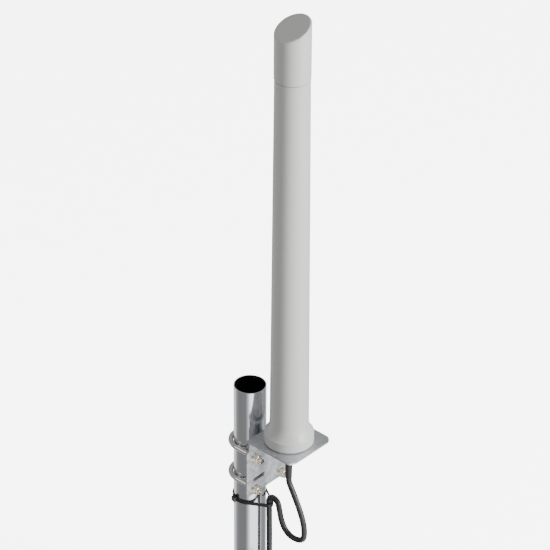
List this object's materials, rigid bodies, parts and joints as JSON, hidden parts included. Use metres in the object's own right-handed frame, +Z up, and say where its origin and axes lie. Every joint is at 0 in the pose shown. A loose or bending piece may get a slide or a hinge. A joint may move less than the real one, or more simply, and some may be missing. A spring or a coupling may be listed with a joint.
{
  "type": "omnidirectional antenna",
  "caption": "Vertical omnidirectional antenna: tapered radome with slanted cap on an angle bracket, clamped by U-bolts to a mast stub, with its coaxial downlead.",
  "frame": {"origin": "centre of the mast's foot, on the mast's axis", "axes": "+Z up along the mast, +X from the mast's axis to the radome's axis"},
  "size_m": [0.1593, 0.143, 1.1539],
  "materials": {
    "mast_metal": "bright",
    "bracket_metal": "satin",
    "saddle_metal": "satin",
    "rod_metal": "bright",
    "nut_metal": "warm plated",
    "radome_plastic": "satin",
    "cap_plastic": "satin",
    "seal_rubber": "matt",
    "inner_plastic": "satin",
    "connector_metal": "nickel plated",
    "insulator_plastic": "satin",
    "contact_brass": "plated",
    "cable_jacket": "satin",
    "tie_plastic": "satin",
    "board_laminate": "satin",
    "foam": "matt",
    "boot_rubber": "matt"
  },
  "bodies": {
    "mast": {"mast": "mast_metal"},
    "antenna": {"bracket": "bracket_metal", "saddle_upper": "saddle_metal", "saddle_lower": "saddle_metal", "u_bolt_nuts": "nut_metal", "u_bolt_washers": "rod_metal", "u_bolt_spring_washers": "rod_metal", "radome_tube": "radome_plastic", "radome_cap": "cap_plastic", "cap_seal": "seal_rubber", "base_gasket": "seal_rubber", "base_plug": "inner_plastic", "base_o_ring": "seal_rubber", "base_screws": "rod_metal", "base_screw_washers": "rod_metal", "coax_jack": "connector_metal", "jack_insulator": "insulator_plastic", "jack_contact": "contact_brass", "jack_lock_washer": "connector_metal", "jack_nut": "connector_metal", "near_boot": "boot_rubber", "near_plug_body": "connector_metal", "near_plug_insulator": "insulator_plastic", "near_plug_contact": "contact_brass", "far_boot": "boot_rubber", "far_plug_body": "connector_metal", "far_plug_insulator": "insulator_plastic", "far_plug_contact": "contact_brass", "cable": "cable_jacket", "cable_coil": "cable_jacket", "cable_tail": "cable_jacket", "cable_tie": "tie_plastic", "coil_mast_tie": "tie_plastic", "coil_ties": "tie_plastic", "radiator_board": "board_laminate", "radiator_elements": "contact_brass", "board_spacers": "foam", "board_holder": "inner_plastic", "feed_coax": "connector_metal"},
    "u_bolt_upper": {"u_bolt_upper": "rod_metal"},
    "u_bolt_lower": {"u_bolt_lower": "rod_metal"},
    "near_coupling": {"near_coupling_nut": "connector_metal"},
    "far_coupling": {"far_coupling_nut": "connector_metal"}
  },
  "joints": [
    {"name": "antenna_swivel", "type": "hinge", "parent": "mast", "child": "antenna", "pos_m": [0, 0, 0.3715], "axis": [0, 0, 1], "continuous": true},
    {"name": "upper_clamp_slide", "type": "slide", "parent": "antenna", "child": "u_bolt_upper", "axis": [-1, 0, 0], "range_m": [0, 0.006]},
    {"name": "lower_clamp_slide", "type": "slide", "parent": "antenna", "child": "u_bolt_lower", "axis": [-1, 0, 0], "range_m": [0, 0.006]},
    {"name": "near_coupling_spin", "type": "hinge", "parent": "antenna", "child": "near_coupling", "pos_m": [0.08, 0, 0.4195], "axis": [0, 0, 1], "continuous": true},
    {"name": "far_coupling_spin", "type": "hinge", "parent": "antenna", "child": "far_coupling", "pos_m": [0.077, 0, 0.0165], "axis": [0, 0, 1], "continuous": true}
  ]
}
